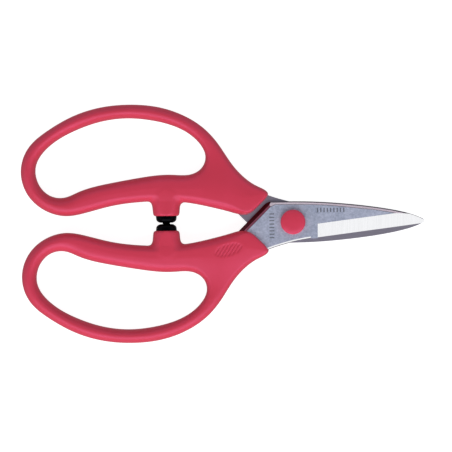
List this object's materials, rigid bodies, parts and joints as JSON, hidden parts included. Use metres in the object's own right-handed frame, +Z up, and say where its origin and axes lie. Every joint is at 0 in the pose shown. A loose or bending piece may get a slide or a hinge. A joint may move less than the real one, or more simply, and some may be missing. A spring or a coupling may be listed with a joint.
{
  "type": "floral snips",
  "caption": "Bow-handled floral snips: plastic finger loops moulded on crossed pointed steel blades, which open on a capped pivot bolt and close against rubber stops.",
  "frame": {"origin": "on the pivot axis, in the plane that the snips rest on when they lie flat", "axes": "+X towards the blade tips, +Y towards the handle of the rear blade, +Z up along the pivot axis, out of the front blade's face"},
  "size_m": [0.1743, 0.1032, 0.012],
  "materials": {
    "handle_plastic": "satin moulded crimson plastic with a fine texture",
    "blade_steel": "bead-blasted stainless with a polished ground bevel",
    "stop_rubber": "smooth black rubber",
    "bolt_steel": "zinc-plated turned steel",
    "cap_plastic": "glossy crimson plastic"
  },
  "bodies": {
    "rear_half": {"rear_blade": "blade_steel", "upper_handle": "handle_plastic", "upper_stop": "stop_rubber", "pivot_bolt": "bolt_steel", "flat_washer": "bolt_steel", "disc_spring": "bolt_steel", "pivot_nut": "bolt_steel", "front_cap": "cap_plastic", "rear_cap": "cap_plastic"},
    "front_half": {"front_blade": "blade_steel", "lower_handle": "handle_plastic", "lower_stop": "stop_rubber"}
  },
  "joints": [
    {"name": "pivot", "type": "hinge", "parent": "rear_half", "child": "front_half", "pos_m": [0, 0, 0.006], "axis": [0, 0, 1], "range_deg": [0, 98]}
  ]
}
